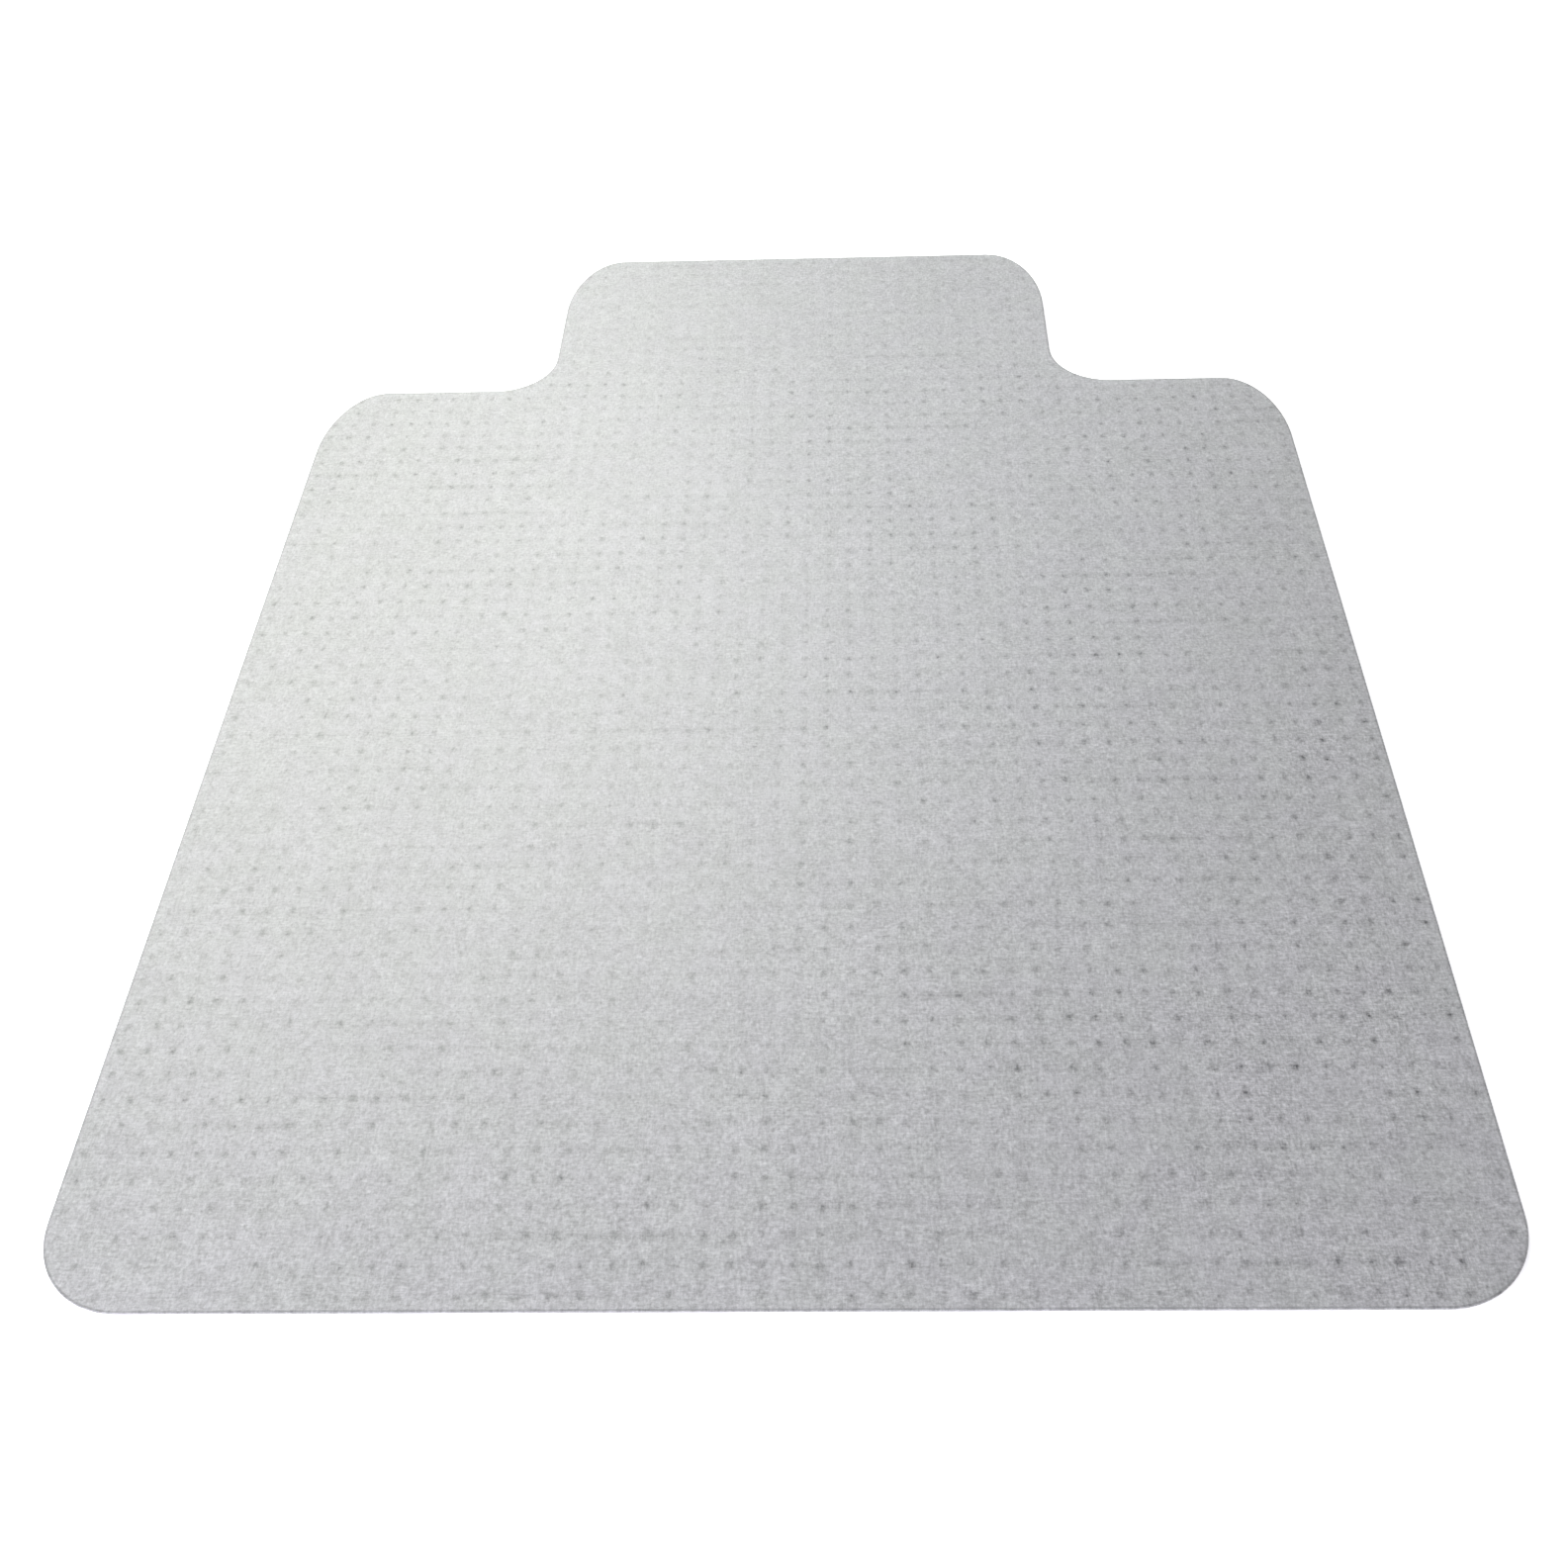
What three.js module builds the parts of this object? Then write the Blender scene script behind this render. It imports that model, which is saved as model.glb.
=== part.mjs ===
// Chair mat: a flat T-shaped sheet of vinyl with a lip that runs under the desk,
// standing on small gripper studs.
//
// Millimetres, +Z up. The origin is on the floor under the middle of the mat.
// +Y points towards the lip, and +X to the right of a person who faces it.

import * as THREE from 'three';

// Driving dimensions.
const MAT_WIDTH = 1168;
const MAT_LENGTH = 1524;
const LIP_WIDTH = 626;
const LIP_DEPTH = 302;
const SHEET_THICKNESS = 2;
const STUD_HEIGHT = 4;

// Corners, each as [radius across the mat, radius along it].
const NEAR_CORNER = [77, 77];
const SHOULDER_CORNER = [66, 122];
const LIP_CORNER = [67, 123];
const INNER_FILLET = [70, 70];
const CORNER_SEGMENTS = 8;

// The rim of the sheet is softened above and below.
const RIM_WIDTH = 1;
const RIM_DEPTH = 0.6;
const RIM_STEPS = 2;

// The stud grid, half a pitch in from every edge.
const GRID_COLUMNS = 50;
const GRID_ROWS = 60;
const STUD_BASE_RADIUS = 2.5;
const STUD_TIP_RADIUS = 1.6;
const STUD_SIDES = 12;
const STUD_EDGE_MARGIN = 6;

// The studs modelled here: every seventh column and every eighth row.
const COLUMN_STEP = 7;
const FIRST_ROW = 3;
const ROW_STEP = 8;

// Places worked out from the dimensions above.
const halfWidth = MAT_WIDTH / 2;
const halfLip = LIP_WIDTH / 2;
const nearEdge = -MAT_LENGTH / 2;
const lipEnd = MAT_LENGTH / 2;
const shoulder = lipEnd - LIP_DEPTH;
const columnPitch = MAT_WIDTH / GRID_COLUMNS;
const rowPitch = MAT_LENGTH / GRID_ROWS;

const vinyl = new THREE.MeshStandardMaterial({ color: 0xcbcbd0, roughness: 0.5, metalness: 0 });

// Adds the quarter ellipse that rounds a corner, turning from one angle to another in degrees.
function roundCorner(path, [across, along], x, y, from, to, clockwise = false) {
  const start = THREE.MathUtils.degToRad(from);
  const end = THREE.MathUtils.degToRad(to);
  path.absellipse(x, y, across, along, start, end, clockwise, 0);
}

// The outline of the sheet, anticlockwise from the near left corner.
function matOutline() {
  const outline = new THREE.Shape();
  const near = NEAR_CORNER;
  const body = SHOULDER_CORNER;
  const lip = LIP_CORNER;
  const inner = INNER_FILLET;
  roundCorner(outline, near, -halfWidth + near[0], nearEdge + near[1], 180, 270);
  roundCorner(outline, near, halfWidth - near[0], nearEdge + near[1], 270, 360);
  roundCorner(outline, body, halfWidth - body[0], shoulder - body[1], 0, 90);
  roundCorner(outline, inner, halfLip + inner[0], shoulder + inner[1], 270, 180, true);
  roundCorner(outline, lip, halfLip - lip[0], lipEnd - lip[1], 0, 90);
  roundCorner(outline, lip, -halfLip + lip[0], lipEnd - lip[1], 90, 180);
  roundCorner(outline, inner, -halfLip - inner[0], shoulder + inner[1], 360, 270, true);
  roundCorner(outline, body, -halfWidth + body[0], shoulder - body[1], 90, 180);
  outline.closePath();
  return outline;
}

// The sheet, with its underside level with the tops of the studs.
function makeSheet(outline) {
  const geometry = new THREE.ExtrudeGeometry(outline, {
    depth: SHEET_THICKNESS - 2 * RIM_DEPTH,
    curveSegments: CORNER_SEGMENTS,
    bevelThickness: RIM_DEPTH,
    bevelSize: RIM_WIDTH,
    bevelOffset: -RIM_WIDTH,
    bevelSegments: RIM_STEPS,
  });
  const sheet = new THREE.Mesh(geometry, vinyl);
  sheet.name = 'vinyl_sheet';
  sheet.position.z = STUD_HEIGHT + RIM_DEPTH;
  return sheet;
}

// A blunt cone with a flat tip on the floor and its wide end against the sheet.
function makeStudGeometry() {
  const profile = [
    new THREE.Vector2(0, 0),
    new THREE.Vector2(STUD_TIP_RADIUS, 0),
    new THREE.Vector2(STUD_BASE_RADIUS, STUD_HEIGHT),
    new THREE.Vector2(0, STUD_HEIGHT),
  ];
  return new THREE.LatheGeometry(profile, STUD_SIDES).rotateX(Math.PI / 2);
}

// True where a stud at x, y stands clear of the straight edges of the body or the lip.
function underSheet(x, y) {
  const side = y < shoulder ? halfWidth : halfLip;
  return Math.abs(x) <= side - STUD_EDGE_MARGIN;
}

function makeStuds(geometry) {
  const studs = new THREE.Group();
  for (let row = FIRST_ROW; row < GRID_ROWS; row += ROW_STEP) {
    const y = nearEdge + (row + 0.5) * rowPitch;
    for (let column = 0; column < GRID_COLUMNS; column += COLUMN_STEP) {
      const x = -halfWidth + (column + 0.5) * columnPitch;
      if (!underSheet(x, y)) continue;
      const stud = new THREE.Mesh(geometry, vinyl);
      const rowName = String(row).padStart(2, '0');
      const columnName = String(column).padStart(2, '0');
      stud.name = `stud_row${rowName}_col${columnName}`;
      stud.position.set(x, y, 0);
      studs.add(stud);
    }
  }
  return studs;
}

const mat = new THREE.Group();
mat.add(makeSheet(matOutline()));
mat.add(makeStuds(makeStudGeometry()));

export default mat;
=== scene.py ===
import math

import bmesh
import bpy
import numpy as np
from mathutils import Matrix, Vector
from mathutils.geometry import delaunay_2d_cdt


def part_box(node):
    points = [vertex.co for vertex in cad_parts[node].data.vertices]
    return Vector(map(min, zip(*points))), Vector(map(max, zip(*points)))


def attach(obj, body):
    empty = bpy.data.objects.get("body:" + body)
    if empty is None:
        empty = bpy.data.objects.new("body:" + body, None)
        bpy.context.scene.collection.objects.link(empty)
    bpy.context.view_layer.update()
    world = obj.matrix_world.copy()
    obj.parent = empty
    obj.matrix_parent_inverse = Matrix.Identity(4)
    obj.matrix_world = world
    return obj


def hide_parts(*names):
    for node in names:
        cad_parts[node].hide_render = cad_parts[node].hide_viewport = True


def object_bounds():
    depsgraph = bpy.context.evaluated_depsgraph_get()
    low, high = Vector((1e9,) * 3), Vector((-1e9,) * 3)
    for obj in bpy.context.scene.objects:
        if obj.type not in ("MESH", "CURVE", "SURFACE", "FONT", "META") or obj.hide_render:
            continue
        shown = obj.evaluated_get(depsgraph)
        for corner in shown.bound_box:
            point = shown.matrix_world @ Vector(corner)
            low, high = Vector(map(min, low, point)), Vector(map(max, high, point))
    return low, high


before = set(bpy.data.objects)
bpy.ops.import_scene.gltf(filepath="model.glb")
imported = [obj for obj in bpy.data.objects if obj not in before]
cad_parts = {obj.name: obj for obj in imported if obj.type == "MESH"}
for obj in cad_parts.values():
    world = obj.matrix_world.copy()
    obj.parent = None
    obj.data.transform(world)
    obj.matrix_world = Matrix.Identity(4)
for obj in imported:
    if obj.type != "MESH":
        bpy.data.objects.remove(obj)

# Metres, in the CAD model's frame: +Z up, +Y towards the lip, the origin on the floor
# under the middle of the mat.

MM = 0.001
cad_low, cad_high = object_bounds()

# ---------------------------------------------------------------- sizes, from the frame

sheet_low, sheet_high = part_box("vinyl_sheet")
MAT_WIDTH = sheet_high.x - sheet_low.x
MAT_LENGTH = sheet_high.y - sheet_low.y
NEAR_EDGE = sheet_low.y
LIP_END = sheet_high.y
TOP = sheet_high.z
UNDERSIDE = sheet_low.z
FLOOR = cad_low.z

# The shape of the outline, as the CAD sheet has it.
LIP_WIDTH = 626 * MM
LIP_DEPTH = 302 * MM
NEAR_CORNER = (77 * MM, 77 * MM)
SHOULDER_CORNER = (66 * MM, 122 * MM)
LIP_CORNER = (67 * MM, 123 * MM)
INNER_FILLET = (70 * MM, 70 * MM)
CORNER_STEPS = 24

# The rim: how far each rounding reaches in and down, and the flat band inside it on both
# faces.
TOP_ROUND = (0.5 * MM, 0.5 * MM)
LOWER_ROUND = (0.4 * MM, 0.4 * MM)
ROUND_STEPS = 3
FLAT_BAND = 1.6 * MM

# The stud grid, half a pitch in from every edge, and the sink mark that each stud leaves
# in the top face.
GRID_COLUMNS = 50
GRID_ROWS = 60
COLUMN_PITCH = MAT_WIDTH / GRID_COLUMNS
ROW_PITCH = MAT_LENGTH / GRID_ROWS
STUD_MARGIN = 6 * MM
STUD_SIDES = 12
DIMPLE_RADIUS = 3.2 * MM
DIMPLE_DEPTH = 0.12 * MM
DIMPLE_SIDES = 8

# A stud's outline, as radius and height above the floor. The last ring is inside the sheet.
STUD_RINGS = ((1.3 * MM, 0), (1.75 * MM, 0.45 * MM), (2.5 * MM, 4.15 * MM))

# Points closer than this are the same point, and folds sharper than this, in degrees, show.
SAME_POINT = 1e-6
SHARP_FOLD = 50

# How far the sheet lifts off a dead flat floor, in long shallow waves. Each wave: its share
# of the height, its radians to the metre across and along the mat, and its phase.
WAVE_HEIGHT = 0.3 * MM
WAVES = ((1.0, 5.1, 2.3, 0.4), (0.8, -3.7, 6.2, 1.9), (0.5, 9.4, -4.1, 4.0))

SHOULDER = LIP_END - LIP_DEPTH
HALF_WIDTH = MAT_WIDTH / 2
HALF_LIP = LIP_WIDTH / 2


# ---------------------------------------------------------------- shape of the sheet

def arc(centre, radii, start, end):
    """Points on a quarter of an ellipse, from one angle to another in degrees."""
    angles = np.radians(np.linspace(start, end, CORNER_STEPS + 1))
    across = centre[0] + radii[0] * np.cos(angles)
    along = centre[1] + radii[1] * np.sin(angles)
    return np.column_stack([across, along])


def outline(inset):
    """The mat's outline, anticlockwise, moved in from the edge by inset."""
    near = np.array(NEAR_CORNER)
    body = np.array(SHOULDER_CORNER)
    lip = np.array(LIP_CORNER)
    inner = np.array(INNER_FILLET)
    right = [
        arc((HALF_WIDTH - near[0], NEAR_EDGE + near[1]), near - inset, 270, 360),
        arc((HALF_WIDTH - body[0], SHOULDER - body[1]), body - inset, 0, 90),
        arc((HALF_LIP + inner[0], SHOULDER + inner[1]), inner + inset, 270, 180),
        arc((HALF_LIP - lip[0], LIP_END - lip[1]), lip - inset, 0, 90),
    ]
    right = np.vstack(right)
    left = right[::-1] * (-1, 1)
    return np.vstack([right, left])


def lift(places):
    """How far the sheet stands off its lowest level at each place, in long shallow waves."""
    x, y = places[:, 0], places[:, 1]
    most = sum(share for share, _, _, _ in WAVES)
    wave = sum(share * np.sin(across * x + along * y + phase)
               for share, across, along, phase in WAVES)
    return WAVE_HEIGHT * (wave + most) / (2 * most)


def stud_places():
    """The centre of every stud: the grid, less what would stand at or past the edge."""
    columns = (np.arange(GRID_COLUMNS) + 0.5) * COLUMN_PITCH - HALF_WIDTH
    rows = (np.arange(GRID_ROWS) + 0.5) * ROW_PITCH + NEAR_EDGE
    grid = np.array([(x, y) for y in rows for x in columns])
    return grid[inside(outline(STUD_MARGIN), grid)]


def inside(loop, places):
    """True for each place that lies within the loop, by how often a ray to +X crosses it."""
    crossings = np.zeros(len(places), int)
    for start, end in zip(loop, np.roll(loop, -1, axis=0)):
        spans = (start[1] > places[:, 1]) != (end[1] > places[:, 1])
        height = end[1] - start[1] or 1.0
        at = start[0] + (places[:, 1] - start[1]) * (end[0] - start[0]) / height
        crossings += spans & (at > places[:, 0])
    return crossings % 2 == 1


def ring(radius, sides, twist=0.0):
    """Points of a circle about the origin."""
    angles = 2 * math.pi * np.arange(sides) / sides + twist
    return radius * np.column_stack([np.cos(angles), np.sin(angles)])


def filled(loop, inner):
    """Triangles that fill a loop, through the inner points: their places and corners."""
    points = [Vector(p) for p in loop] + [Vector(p) for p in inner]
    edges = [(i, (i + 1) % len(loop)) for i in range(len(loop))]
    places, _, faces, _, _, _ = delaunay_2d_cdt(points, edges, [], 1, 1e-7)
    return np.array([tuple(p) for p in places]), faces


def rim_profile():
    """(inset, height) down the rim, from the flat of the top face to that of the underside."""
    angles = np.radians(np.linspace(90, 0, ROUND_STEPS + 1))
    upper = [(TOP_ROUND[0] * (1 - math.cos(a)), TOP - TOP_ROUND[1] * (1 - math.sin(a)))
             for a in angles]
    lower = [(LOWER_ROUND[0] * (1 - math.cos(a)), UNDERSIDE + LOWER_ROUND[1] * (1 - math.sin(a)))
             for a in angles[::-1]]
    first = (TOP_ROUND[0] + FLAT_BAND, TOP)
    last = (LOWER_ROUND[0] + FLAT_BAND, UNDERSIDE)
    return [first, *upper, *lower, last]


def raised(places, height):
    """Places on the plan as points at a height, lifted with the sheet."""
    return np.column_stack([places, lift(places) + height])


def make_object(name, points, faces, material):
    """A smooth shaded object of these points and faces, with coincident points joined."""
    mesh = bpy.data.meshes.new(name)
    mesh.from_pydata(points.tolist(), [], faces)
    work = bmesh.new()
    work.from_mesh(mesh)
    bmesh.ops.remove_doubles(work, verts=work.verts, dist=SAME_POINT)
    bmesh.ops.recalc_face_normals(work, faces=work.faces)
    work.to_mesh(mesh)
    work.free()
    mesh.shade_smooth()
    mesh.materials.append(material)
    piece = bpy.data.objects.new(name, mesh)
    bpy.context.scene.collection.objects.link(piece)
    return piece


def dimpled_top(studs, inset):
    """The top face, inset from the edge and sunk a little over each stud: points and faces."""
    rounds = ring(DIMPLE_RADIUS, DIMPLE_SIDES)
    dimple_edges = (studs[:, None, :] + rounds[None, :, :]).reshape(-1, 2)
    places, faces = filled(outline(inset), np.vstack([studs, dimple_edges]))
    from_stud = np.abs(places / (COLUMN_PITCH, ROW_PITCH) - 0.5)
    at_centre = np.all(np.abs(from_stud - np.round(from_stud)) < 1e-3, axis=1)
    at_centre &= inside(outline(STUD_MARGIN), places)
    return raised(places, TOP - DIMPLE_DEPTH * at_centre), faces


def rim_bands(profile, start):
    """The rim, a band of faces for each step down its profile. Its points count from start."""
    points, faces = [], []
    for upper, lower in zip(profile, profile[1:]):
        above = raised(outline(upper[0]), upper[1])
        below = raised(outline(lower[0]), lower[1])
        points += [above, below]
        count = len(above)
        for i in range(count):
            j = (i + 1) % count
            faces.append([start + i, start + count + i, start + count + j, start + j])
        start += 2 * count
    return np.vstack(points), faces


def make_sheet(studs, face_material, shaded_line_material, lit_edge_material):
    """The whole sheet as one closed skin: dimpled top face, rounded rim and flat underside."""
    profile = rim_profile()
    top, top_faces = dimpled_top(studs, profile[0][0])
    under_places, under_faces = filled(outline(profile[-1][0]), studs)
    under = raised(under_places, UNDERSIDE)
    rim, rim_faces = rim_bands(profile, len(top) + len(under))

    flat_faces = [list(f) for f in top_faces]
    flat_faces += [[i + len(top) for i in f[::-1]] for f in under_faces]
    points = np.vstack([top, under, rim])
    sheet = make_object("moulded_sheet", points, flat_faces + rim_faces, face_material)
    sheet.data.materials.append(shaded_line_material)
    sheet.data.materials.append(lit_edge_material)
    # The flat bands take the darker copy of the vinyl, a painted shade line, and the rounds and
    # side take the lighter copy, painted light.
    band = len(rim_faces) // (len(profile) - 1)
    for index, face in enumerate(sheet.data.polygons[len(flat_faces):]):
        on_flat_band = index < band or index >= len(rim_faces) - band
        face.material_index = 1 if on_flat_band else 2
    return sheet


def make_studs(name, places, material):
    """Every stud at these places, as blunt cones whose wide ends run into the sheet."""
    random = np.random.default_rng(len(places))
    points, faces = [], []
    for place, rise in zip(places, lift(places)):
        start = len(points)
        twist = random.uniform(0, 2 * math.pi)
        for radius, height in STUD_RINGS:
            for x, y in ring(radius, STUD_SIDES, twist) + place:
                points.append((x, y, FLOOR + height + rise))
        loops = [range(start + k * STUD_SIDES, start + (k + 1) * STUD_SIDES)
                 for k in range(len(STUD_RINGS))]
        faces.append(list(loops[0])[::-1])
        faces.append(list(loops[-1]))
        for low, high in zip(loops, loops[1:]):
            for i in range(STUD_SIDES):
                j = (i + 1) % STUD_SIDES
                faces.append([low[i], low[j], high[j], high[i]])
    piece = make_object(name, np.array(points), faces, material)
    piece.data.set_sharp_from_angle(angle=math.radians(SHARP_FOLD))
    return piece


# ---------------------------------------------------------------- materials

class Shader:
    """One material, with short calls that add and join its nodes."""

    def __init__(self, name):
        self.material = bpy.data.materials.new(name)
        self.material.use_nodes = True
        self.tree = self.material.node_tree
        self.tree.nodes.clear()
        self.surface = self.tree.nodes.new("ShaderNodeBsdfPrincipled")
        output = self.tree.nodes.new("ShaderNodeOutputMaterial")
        self.tree.links.new(self.surface.outputs[0], output.inputs["Surface"])
        self.place = self.tree.nodes.new("ShaderNodeTexCoord").outputs["Object"]

    def feed(self, socket, value):
        """Joins a socket to another node's output, or sets it to a constant."""
        if isinstance(value, bpy.types.NodeSocket):
            self.tree.links.new(value, socket)
        else:
            socket.default_value = value

    def maths(self, operation, *values, clamp=False):
        node = self.tree.nodes.new("ShaderNodeMath")
        node.operation = operation
        node.use_clamp = clamp
        for socket, value in zip(node.inputs, values):
            self.feed(socket, value)
        return node.outputs[0]

    def vector(self, operation, *values):
        node = self.tree.nodes.new("ShaderNodeVectorMath")
        node.operation = operation
        for socket, value in zip(node.inputs, values):
            self.feed(socket, value)
        return node.outputs["Value" if operation in ("LENGTH", "DOT_PRODUCT") else "Vector"]

    def noise(self, place, scale, detail=2.0, roughness=0.5):
        """Noise with a mean of zero, about -0.5 to 0.5."""
        node = self.tree.nodes.new("ShaderNodeTexNoise")
        self.feed(node.inputs["Vector"], place)
        node.inputs["Scale"].default_value = scale
        node.inputs["Detail"].default_value = detail
        node.inputs["Roughness"].default_value = roughness
        return self.maths("SUBTRACT", node.outputs["Fac"], 0.5)

    def random(self, place):
        """A random colour for each whole-numbered place."""
        node = self.tree.nodes.new("ShaderNodeTexWhiteNoise")
        self.feed(node.inputs["Vector"], place)
        return node.outputs["Color"]

    def apart(self, vector):
        node = self.tree.nodes.new("ShaderNodeSeparateXYZ")
        self.feed(node.inputs[0], vector)
        return node.outputs

    def together(self, x, y, z=0.0):
        node = self.tree.nodes.new("ShaderNodeCombineXYZ")
        for socket, value in zip(node.inputs, (x, y, z)):
            self.feed(socket, value)
        return node.outputs[0]

    def bell(self, value):
        """1 where value is 0, falling away smoothly as it grows."""
        squared = self.maths("MULTIPLY", value, value)
        return self.maths("EXPONENT", self.maths("MULTIPLY", squared, -0.5))

    def between(self, value, start, end):
        """0 below start and 1 above end, smooth between."""
        node = self.tree.nodes.new("ShaderNodeMapRange")
        node.interpolation_type = "SMOOTHSTEP"
        node.inputs["From Min"].default_value = start
        node.inputs["From Max"].default_value = end
        self.feed(node.inputs["Value"], value)
        return node.outputs["Result"]

    def blend(self, share, first, second):
        node = self.tree.nodes.new("ShaderNodeMix")
        node.data_type = "RGBA"
        self.feed(node.inputs["Factor"], share)
        self.feed(node.inputs["A"], (*first, 1) if isinstance(first, tuple) else first)
        self.feed(node.inputs["B"], (*second, 1) if isinstance(second, tuple) else second)
        return node.outputs["Result"]

    def bump(self, height, distance, strength=1.0):
        node = self.tree.nodes.new("ShaderNodeBump")
        node.inputs["Distance"].default_value = distance
        node.inputs["Strength"].default_value = strength
        self.feed(node.inputs["Height"], height)
        return node.outputs["Normal"]


# Vinyl: a soft grey that runs from a green tinge to a lilac one.
GREEN_GREY = (0.495, 0.502, 0.497)
LILAC_GREY = (0.498, 0.499, 0.504)
STUD_GREY = (0.46, 0.465, 0.475)
VINYL_ROUGHNESS = 0.42
STUD_ROUGHNESS = 0.3
VINYL_IOR = 1.53
VINYL_SPECULAR = 0.65
VINYL_TRANSMISSION = 0.25

# Pattern strengths, as shares of the colour. STUD_SHADE is painted shade over the studs, where they
# show through the sheet.
SPECKLE = 1.10
BLOTCHES = 0.34
THREADS = 0.79
CLOUDS = 0.10
STREAKS = 0.10
STUD_SHADE = 0.53

# Painted light and shade on the rim, as tones to that of the face: the line just inside the edge is
# darkened as painted shade, and the edge itself lightened as painted light against the shade of
# faces turned from the softboxes.
LINE_SHADE_TONE = 0.78
EDGE_LIGHT_TONE = 1.25

# Noise cells to the metre. Threads are long one way and thin the other.
FINE_CELLS = 300
BLOTCH_CELLS = 90
THREAD_LONG_CELLS = 110
THREAD_THIN_CELLS = 520
RAGGED_CELLS = 330
REGION_CELLS = 5
CLOUD_CELLS = 9
TINT_CELLS = 22
STREAK_CELLS = 4
STUD_GRAIN_CELLS = 600
STUD_CLOUD_CELLS = 30

# How deep the mottling is in the surface, and how much of that the light shows.
GRAIN_DEPTH = 0.25 * MM
GRAIN_STRENGTH = 0.05

# Pattern sizes. A spot of painted shade is off its stud by up to half its wander.
SPOT_WIDTH = 2.1 * MM
SPOT_LENGTH = 2.6 * MM
SPOT_WANDER = 2.5 * MM
STREAK_WIDTH = 2.2 * MM

# How the spots of painted shade gain strength towards the lip, for each metre.
SPOTS_TO_LIP = 0.15

# How far noise eats into the spots, and how the chance of each cell and the part of the mat
# that it is in make them stronger or weaker.
RAGGEDNESS = 3.2
WEAKEST_CELL = 0.45
CELL_RANGE = 0.5
WEAKEST_REGION = 0.6
REGION_RANGE = 0.45
RAGGED_LEAST = 0.1

# The share of their strength that the spots lose on the lip, and how far that takes.
LIP_LOSS = 0.5
LIP_FADE = 60 * MM

# The levels of noise between which a region, a tint or a streak comes in.
REGION_LEVELS = (-0.16, 0.16)
TINT_LEVELS = (-0.15, 0.15)
STREAK_LEVELS = (0.02, 0.2)

# The studs' own patterns, as shares of the colour.
STUD_GRAIN = 0.15
STUD_CLOUDS = 0.10

# How much rougher the grain makes the face and the studs.
FACE_GRAIN_ROUGHNESS = 0.15
STUD_GRAIN_ROUGHNESS = 0.2


def speckle(shader):
    """The frosted face's mottling, with short threads across and along the mat."""
    fine = shader.noise(shader.place, FINE_CELLS, 2.0, 0.8)
    blotches = shader.noise(shader.place, BLOTCH_CELLS, 1.0)
    grains = shader.maths("MULTIPLY_ADD", blotches, BLOTCHES, fine)
    threads = 0.0
    across = (THREAD_LONG_CELLS, THREAD_THIN_CELLS, 1)
    along = (THREAD_THIN_CELLS, THREAD_LONG_CELLS, 1)
    for cells in (across, along):
        drawn_out = shader.vector("MULTIPLY", shader.place, cells)
        threads = shader.maths("ADD", threads, shader.noise(drawn_out, 1.0, 2.0, 0.8))
    grains = shader.maths("MULTIPLY", grains, SPECKLE)
    return shader.maths("MULTIPLY_ADD", threads, THREADS, grains)


def stud_shade_strength(shader, y, chance):
    """How strong a cell's spot of painted shade is, by chance, by region and by how far along the
    mat it is.
    """
    region = shader.between(shader.noise(shader.place, REGION_CELLS, 2.0), *REGION_LEVELS)
    strength = shader.maths("MULTIPLY_ADD", region, REGION_RANGE, WEAKEST_REGION)
    strength = shader.maths("MULTIPLY_ADD", y, SPOTS_TO_LIP, strength)
    own = shader.maths("MULTIPLY_ADD", chance, CELL_RANGE, WEAKEST_CELL)
    strength = shader.maths("MULTIPLY", strength, own)
    on_lip = shader.between(y, SHOULDER, SHOULDER + LIP_FADE)
    kept = shader.maths("MULTIPLY_ADD", on_lip, -LIP_LOSS, 1.0)
    return shader.maths("MULTIPLY", strength, kept)


def painted_stud_shade(shader):
    """Painted shade: a soft, ragged dark spot over every stud, where it shows through the frosted
    sheet, each a little out of place and more or less strong."""
    x, y, _ = shader.apart(shader.place)
    column = shader.maths("DIVIDE", x, COLUMN_PITCH)
    row = shader.maths("DIVIDE", y, ROW_PITCH)
    cell = shader.together(shader.maths("FLOOR", column), shader.maths("FLOOR", row))
    chance = shader.apart(shader.random(cell))

    from_stud = []
    for place, pitch, aside in ((column, COLUMN_PITCH, chance[0]), (row, ROW_PITCH, chance[1])):
        away = shader.maths("SUBTRACT", shader.maths("FRACT", place), 0.5)
        away = shader.maths("MULTIPLY", away, pitch)
        aside = shader.maths("SUBTRACT", aside, 0.5)
        away = shader.maths("MULTIPLY_ADD", aside, SPOT_WANDER, away)
        from_stud.append(away)
    spot = shader.maths("MULTIPLY",
                        shader.bell(shader.maths("DIVIDE", from_stud[0], SPOT_WIDTH)),
                        shader.bell(shader.maths("DIVIDE", from_stud[1], SPOT_LENGTH)))
    ragged = shader.noise(shader.place, RAGGED_CELLS, 2.0, 0.6)
    ragged = shader.maths("MULTIPLY_ADD", ragged, RAGGEDNESS, 1.0)
    spot = shader.maths("MULTIPLY", spot, shader.maths("MAXIMUM", ragged, RAGGED_LEAST))
    return shader.maths("MULTIPLY", spot, stud_shade_strength(shader, y, chance[2]))


def row_streaks(shader):
    """Faint dark lines along stretches of some stud rows."""
    x, y, _ = shader.apart(shader.place)
    row = shader.maths("DIVIDE", y, ROW_PITCH)
    off_row = shader.maths("SUBTRACT", shader.maths("FRACT", row), 0.5)
    off_row = shader.maths("MULTIPLY", off_row, ROW_PITCH / STREAK_WIDTH)
    line = shader.bell(off_row)
    stretch = shader.together(shader.maths("MULTIPLY", x, STREAK_CELLS), shader.maths("FLOOR", row))
    shown = shader.between(shader.noise(stretch, 1.0, 1.0), *STREAK_LEVELS)
    return shader.maths("MULTIPLY", line, shown)


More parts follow.
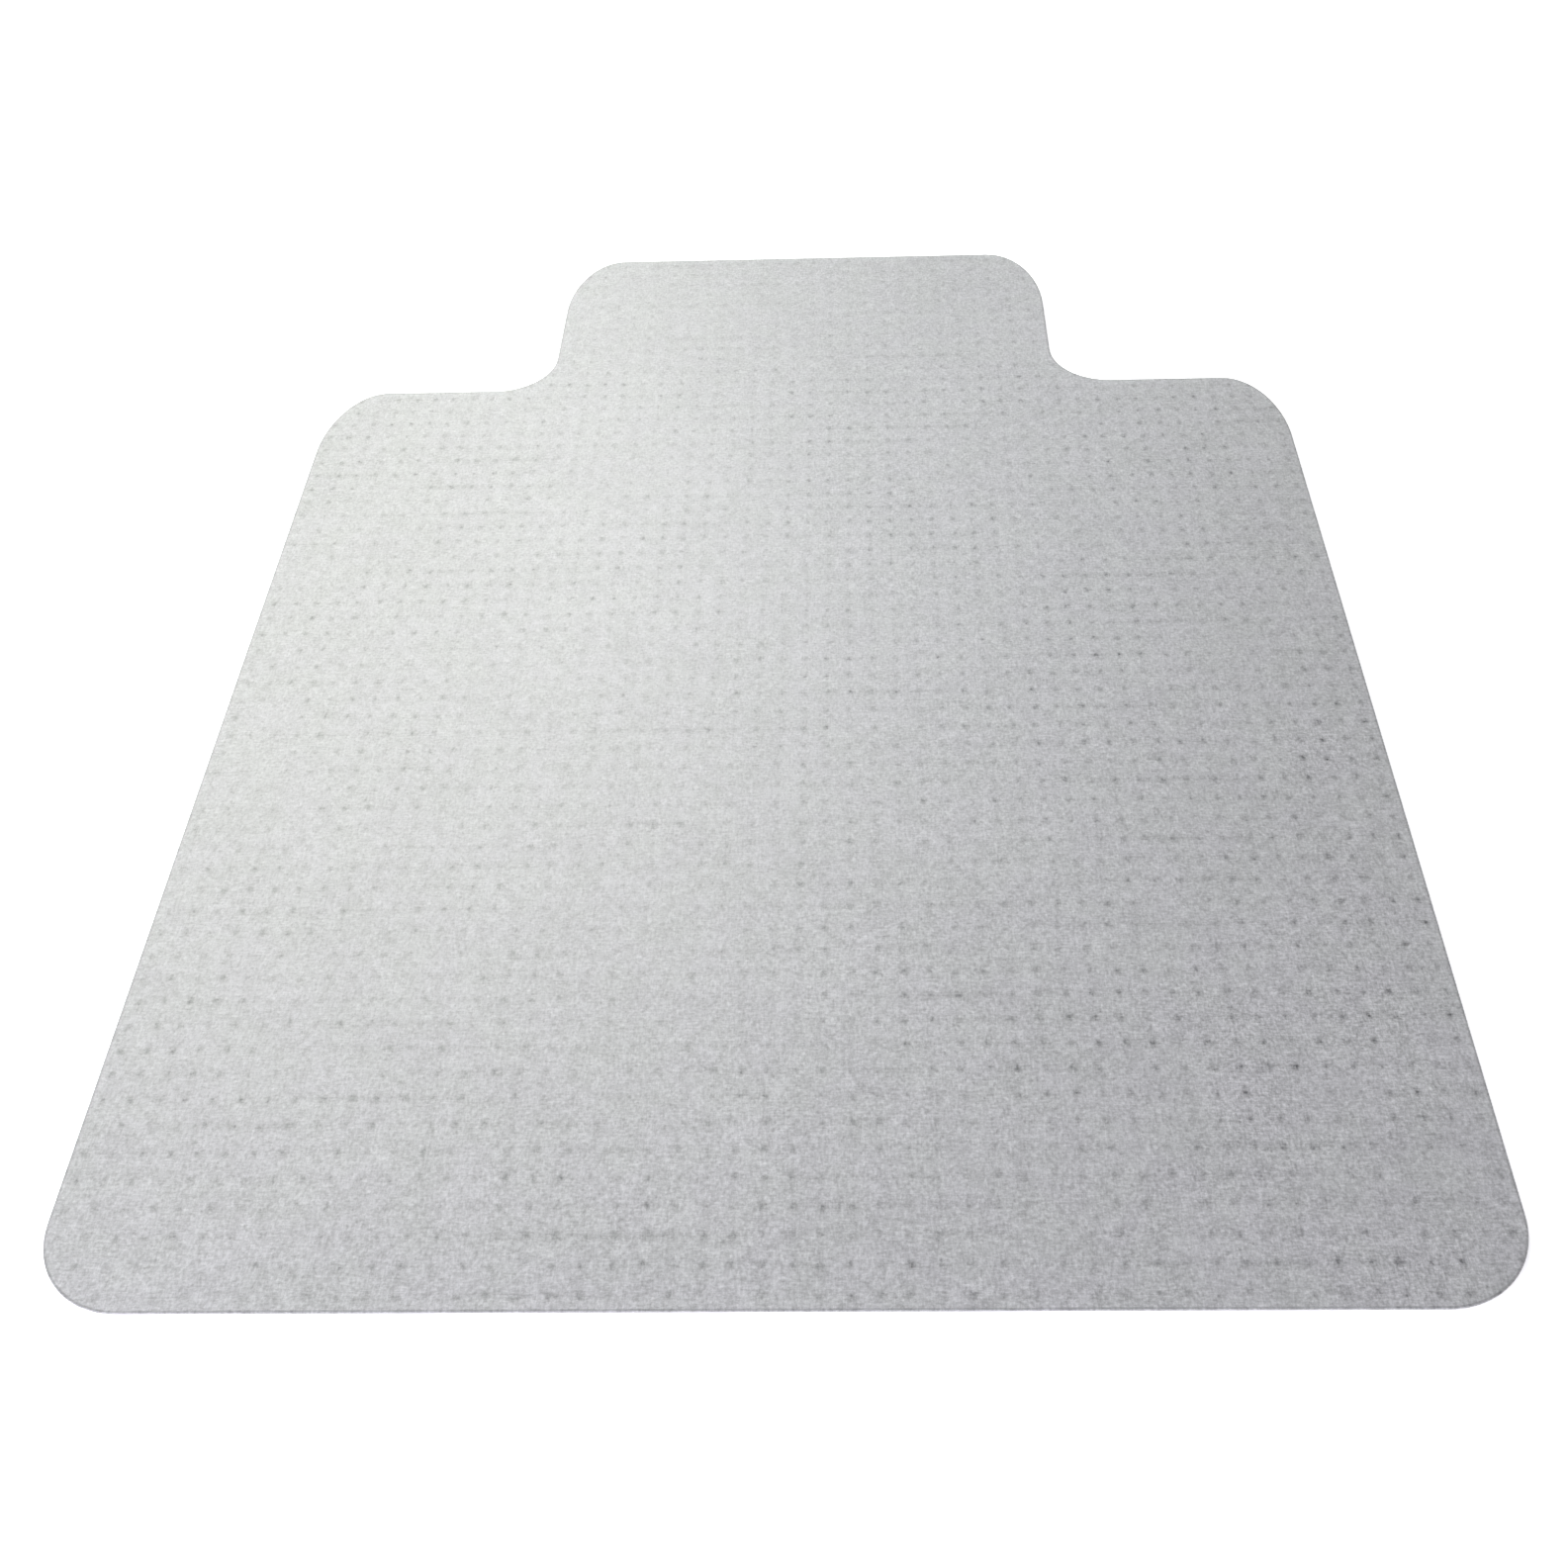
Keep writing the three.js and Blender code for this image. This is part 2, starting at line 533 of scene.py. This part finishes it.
def vinyl(name, painted_lighting_tone=1.0):
    """Frosted vinyl; the studs show through as spots of painted shade, added to what its
    transmission renders. The tone scales it all, for the rim's copies: painted shade below 1,
    painted light above.
    """
    shader = Shader(name)
    grains = speckle(shader)
    shade_spots = painted_stud_shade(shader)
    streaks = row_streaks(shader)
    clouds = shader.noise(shader.place, CLOUD_CELLS, 2.0)

    tint = shader.between(shader.noise(shader.place, TINT_CELLS, 2.0), *TINT_LEVELS)
    tone = shader.maths("ADD", grains, 1.0)
    tone = shader.maths("MULTIPLY_ADD", clouds, CLOUDS, tone)
    tone = shader.maths("MULTIPLY_ADD", streaks, -STREAKS, tone)
    # Painted shade over the studs, where they show through the sheet.
    tone = shader.maths("MULTIPLY_ADD", shade_spots, -STUD_SHADE, tone)
    # Painted light and shade for the rim's copies: a tone below 1 darkens, above 1 lightens.
    tone = shader.maths("MULTIPLY", tone, painted_lighting_tone)
    colour = shader.blend(tint, GREEN_GREY, LILAC_GREY)
    colour = shader.vector("MULTIPLY", colour, shader.together(tone, tone, tone))

    surface = shader.surface.inputs
    shader.feed(surface["Base Color"], colour)
    roughness = shader.maths("MULTIPLY_ADD", grains, FACE_GRAIN_ROUGHNESS, VINYL_ROUGHNESS)
    shader.feed(surface["Roughness"], roughness)
    shader.feed(surface["Normal"], shader.bump(grains, GRAIN_DEPTH, GRAIN_STRENGTH))
    surface["IOR"].default_value = VINYL_IOR
    surface["Specular IOR Level"].default_value = VINYL_SPECULAR
    surface["Transmission Weight"].default_value = VINYL_TRANSMISSION
    return shader.material


def stud_vinyl(name):
    """The same vinyl on the studs: smoother, from the polished pockets of the mould."""
    shader = Shader(name)
    grains = shader.noise(shader.place, STUD_GRAIN_CELLS, 2.0)
    clouds = shader.noise(shader.place, STUD_CLOUD_CELLS, 1.0)
    tone = shader.maths("MULTIPLY_ADD", grains, STUD_GRAIN, 1.0)
    tone = shader.maths("MULTIPLY_ADD", clouds, STUD_CLOUDS, tone)
    colour = shader.vector("MULTIPLY", shader.together(tone, tone, tone), STUD_GREY)
    surface = shader.surface.inputs
    shader.feed(surface["Base Color"], colour)
    roughness = shader.maths("MULTIPLY_ADD", grains, STUD_GRAIN_ROUGHNESS, STUD_ROUGHNESS)
    shader.feed(surface["Roughness"], roughness)
    surface["IOR"].default_value = VINYL_IOR
    surface["Specular IOR Level"].default_value = VINYL_SPECULAR
    surface["Transmission Weight"].default_value = VINYL_TRANSMISSION
    return shader.material


def plain_floor(name):
    """A plain pale floor, glowing a little like a light table so that it stays white."""
    shader = Shader(name)
    mottle = shader.noise(shader.place, FLOOR_CELLS, 2.0)
    tone = shader.maths("MULTIPLY_ADD", mottle, FLOOR_MOTTLE, FLOOR_TONE)
    surface = shader.surface.inputs
    shader.feed(surface["Base Color"], shader.together(tone, tone, tone))
    surface["Roughness"].default_value = 0.9
    surface["Specular IOR Level"].default_value = 0.1
    surface["Emission Color"].default_value = (1, 1, 1, 1)
    surface["Emission Strength"].default_value = FLOOR_GLOW
    return shader.material


# ---------------------------------------------------------------- stage, lights, camera

FLOOR_SIZE = 400.0
FLOOR_TONE = 0.85
FLOOR_GLOW = 0.6
FLOOR_CELLS = 3
FLOOR_MOTTLE = 0.01

# The studio around: a pale band as bright as the far floor, dimmer overhead from BAND_TOP to
# DOME_START, in degrees above the horizon.
BAND_LIGHT = (0.805, 0.80, 0.825)
DOME_LIGHT = (0.098, 0.093, 0.12)
BAND_TOP = 20
DOME_START = 38

# Each softbox: name, where it is, what it faces, its width and height, watts and colour.
SOFTBOXES = (
    ("far_left_softbox", (-2.0, 3.2, 3.6), (-0.2, 0.1, 0), 4.0, 3.0, 248, (0.977, 1.0, 0.892)),
    ("far_softbox", (0, 2.8, 2.2), (0, 0.1, 0), 2.2, 1.4, 22, (0.87, 0.89, 1.0)),
    ("near_left_softbox", (-1.3, -2.3, 2.0), (0, 0, 0), 2.0, 2.0, 57, (0.86, 0.83, 1.0)),
)

# The camera looks to +Y, then is turned to its left, down and about its own axis, in degrees.
CAMERA_PLACE = (75.1 * MM, -1352.6 * MM, 1229.6 * MM)
CAMERA_DOWN = 47.10
CAMERA_LEFT = 2.44
CAMERA_ROLL = -2.50
CAMERA_LENS = 39.33
CAMERA_SHIFT = -0.0213


def turn(degrees, axis):
    return Matrix.Rotation(math.radians(degrees), 4, axis)


def make_floor():
    half = FLOOR_SIZE / 2
    corners = [(x * half, y * half, FLOOR) for x, y in ((-1, -1), (1, -1), (1, 1), (-1, 1))]
    mesh = bpy.data.meshes.new("floor")
    mesh.from_pydata(corners, [], [(0, 1, 2, 3)])
    mesh.materials.append(plain_floor("floor_paint"))
    floor = bpy.data.objects.new("floor", mesh)
    bpy.context.scene.collection.objects.link(floor)


def make_world():
    """Light from all around, by how high above the horizon it comes from."""
    world = bpy.data.worlds.new("studio")
    world.use_nodes = True
    nodes, links = world.node_tree.nodes, world.node_tree.links
    direction = nodes.new("ShaderNodeSeparateXYZ")
    links.new(nodes.new("ShaderNodeTexCoord").outputs["Generated"], direction.inputs[0])
    height = nodes.new("ShaderNodeMapRange")
    height.interpolation_type = "SMOOTHSTEP"
    height.inputs["From Min"].default_value = math.sin(math.radians(BAND_TOP))
    height.inputs["From Max"].default_value = math.sin(math.radians(DOME_START))
    links.new(direction.outputs["Z"], height.inputs["Value"])
    light = nodes.new("ShaderNodeMix")
    light.data_type = "RGBA"
    light.inputs["A"].default_value = (*BAND_LIGHT, 1)
    light.inputs["B"].default_value = (*DOME_LIGHT, 1)
    links.new(height.outputs["Result"], light.inputs["Factor"])
    links.new(light.outputs["Result"], nodes["Background"].inputs["Color"])
    bpy.context.scene.world = world


def make_softbox(name, place, target, width, height, watts, colour):
    light = bpy.data.lights.new(name, "AREA")
    light.shape = "RECTANGLE"
    light.size = width
    light.size_y = height
    light.energy = watts
    light.color = colour
    softbox = bpy.data.objects.new(name, light)
    softbox.location = place
    facing = Vector(target) - Vector(place)
    softbox.rotation_euler = facing.to_track_quat("-Z", "Y").to_euler()
    softbox.visible_camera = False
    bpy.context.scene.collection.objects.link(softbox)


def make_camera():
    data = bpy.data.cameras.new("camera")
    data.lens = CAMERA_LENS
    data.shift_x = CAMERA_SHIFT
    camera = bpy.data.objects.new("camera", data)
    place = Matrix.Translation(CAMERA_PLACE)
    aim = turn(CAMERA_LEFT, "Z") @ turn(90 - CAMERA_DOWN, "X") @ turn(CAMERA_ROLL, "Z")
    camera.matrix_world = place @ aim
    bpy.context.scene.collection.objects.link(camera)
    bpy.context.scene.camera = camera


# ---------------------------------------------------------------- the scene

make_camera()
make_world()
make_floor()
for softbox in SOFTBOXES:
    make_softbox(*softbox)
bpy.context.scene.view_settings.view_transform = "Standard"

studs = stud_places()
on_lip = studs[:, 1] > SHOULDER
stud_finish = stud_vinyl("stud_vinyl")
# Two more copies of the vinyl for the rim: a darker one, painted shade along the line inside the
# edge, and a lighter one, painted light on the edge and side.
sheet = make_sheet(studs, vinyl("frosted_vinyl"), vinyl("painted_shade_line_vinyl", LINE_SHADE_TONE),
                   vinyl("painted_light_edge_vinyl", EDGE_LIGHT_TONE))
body_studs = make_studs("body_studs", studs[~on_lip], stud_finish)
lip_studs = make_studs("lip_studs", studs[on_lip], stud_finish)

stud_nodes = [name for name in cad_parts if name.startswith("stud_")]
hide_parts("vinyl_sheet")
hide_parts(*[name for name in stud_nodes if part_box(name)[0].y < SHOULDER])
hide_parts(*[name for name in stud_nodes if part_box(name)[0].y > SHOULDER])
for piece in (sheet, body_studs, lip_studs):
    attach(piece, "root")
